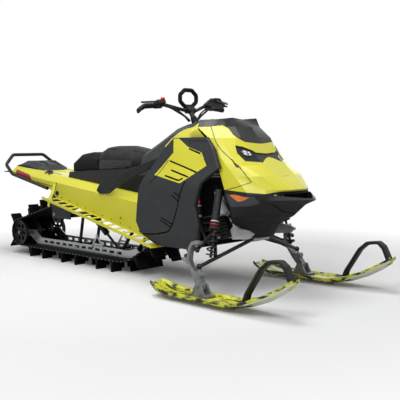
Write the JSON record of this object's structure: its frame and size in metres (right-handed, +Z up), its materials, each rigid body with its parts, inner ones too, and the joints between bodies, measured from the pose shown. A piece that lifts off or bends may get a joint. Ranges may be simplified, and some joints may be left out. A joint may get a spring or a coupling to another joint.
{
  "type": "snowmobile",
  "caption": "Mountain snowmobile: faceted front cover, two steered skis on double arms, long lugged track under a tapered tunnel, short seat, grab loop.",
  "frame": {"origin": "on the floor under the middle of the machine's length and width", "axes": "+X towards the ski tips, +Y to the rider's left, +Z up"},
  "size_m": [3.22, 1.114, 1.2516],
  "materials": {
    "track_rubber": "matt moulded rubber",
    "bare_aluminium": "cast and pressed, satin",
    "dark_plastic": "matt moulded",
    "steel": "plain",
    "wheel_plastic": "satin",
    "black_tube": "satin black coat",
    "yellow_paint": "gloss",
    "seat_cover": "grained vinyl",
    "ski_plastic": "satin, patterned",
    "grip_rubber": "soft",
    "lamp_lens": "clear",
    "red_lens": "gloss",
    "amber_lens": "gloss"
  },
  "bodies": {
    "chassis": {"belly_pan": "dark_plastic", "bulkhead": "bare_aluminium", "cheeks": "yellow_paint", "console": "dark_plastic", "drive_sprockets": "wheel_plastic", "drop_brackets": "bare_aluminium", "engine": "bare_aluminium", "front_arm": "black_tube", "front_shocks": "black_tube", "front_springs": "black_tube", "head_lamps": "lamp_lens", "hood": "yellow_paint", "hood_skirt": "dark_plastic", "idler_wheels": "wheel_plastic", "lamp_housings": "dark_plastic", "lower_arms": "black_tube", "nose_pan": "dark_plastic", "rear_arm": "black_tube", "rear_bumper": "black_tube", "running_boards": "yellow_paint", "seat_base": "dark_plastic", "seat_cushion": "seat_cover", "seat_trunk": "dark_plastic", "side_panel_left": "dark_plastic", "side_panel_right": "dark_plastic", "side_reflectors": "amber_lens", "side_stays": "black_tube", "skid_shock": "black_tube", "slide_rails": "bare_aluminium", "slide_strips": "dark_plastic", "snow_flap": "track_rubber", "subframe": "bare_aluminium", "tail_cover": "dark_plastic", "tail_reflectors": "red_lens", "track": "track_rubber", "track_axles": "steel", "tunnel": "yellow_paint", "tunnel_anchors": "dark_plastic", "upper_arms": "black_tube", "windshield": "dark_plastic"},
    "handlebar": {"bar_riser": "black_tube", "handlebar": "black_tube", "grips": "grip_rubber", "hand_controls": "dark_plastic", "strap_loop": "grip_rubber"},
    "spindle_right": {"spindle_right": "bare_aluminium"},
    "tie_rod_right": {"tie_rod_right": "black_tube"},
    "ski_right": {"ski_right": "ski_plastic", "ski_runner_right": "steel", "ski_saddle_right": "bare_aluminium", "ski_loop_right": "dark_plastic"},
    "spindle_left": {"spindle_left": "bare_aluminium"},
    "tie_rod_left": {"tie_rod_left": "black_tube"},
    "ski_left": {"ski_left": "ski_plastic", "ski_runner_left": "steel", "ski_saddle_left": "bare_aluminium", "ski_loop_left": "dark_plastic"}
  },
  "joints": [
    {"name": "handlebar_turn", "type": "hinge", "parent": "chassis", "child": "handlebar", "pos_m": [0.457, 0, 1.025], "axis": [-0.5195, 0, 0.8545], "range_deg": [-35, 35]},
    {"name": "steer_right", "type": "hinge", "parent": "chassis", "child": "spindle_right", "pos_m": [0.96, -0.467, 0.095], "axis": [-0.2917, 0.1417, 0.946], "range_deg": [-28, 28]},
    {"name": "tie_rod_eye_right", "type": "hinge", "parent": "spindle_right", "child": "tie_rod_right", "pos_m": [0.814, -0.44342, 0.25244], "axis": [-0.2917, 0.1417, 0.946], "range_deg": [-28, 28]},
    {"name": "ski_pivot_right", "type": "hinge", "parent": "spindle_right", "child": "ski_right", "pos_m": [0.96, -0.467, 0.095], "axis": [0, 1, 0], "range_deg": [-15, 15], "stiffness_Nm_per_rad": 120},
    {"name": "steer_left", "type": "hinge", "parent": "chassis", "child": "spindle_left", "pos_m": [0.96, 0.467, 0.095], "axis": [-0.2917, -0.1417, 0.946], "range_deg": [-28, 28]},
    {"name": "tie_rod_eye_left", "type": "hinge", "parent": "spindle_left", "child": "tie_rod_left", "pos_m": [0.814, 0.44342, 0.25244], "axis": [-0.2917, -0.1417, 0.946], "range_deg": [-28, 28]},
    {"name": "ski_pivot_left", "type": "hinge", "parent": "spindle_left", "child": "ski_left", "pos_m": [0.96, 0.467, 0.095], "axis": [0, 1, 0], "range_deg": [-15, 15], "stiffness_Nm_per_rad": 120}
  ],
  "couplings": [
    {"joint": "steer_right", "follows": "handlebar_turn", "ratio": 0.8},
    {"joint": "tie_rod_eye_right", "follows": "handlebar_turn", "ratio": -0.8},
    {"joint": "steer_left", "follows": "handlebar_turn", "ratio": 0.8},
    {"joint": "tie_rod_eye_left", "follows": "handlebar_turn", "ratio": -0.8}
  ]
}
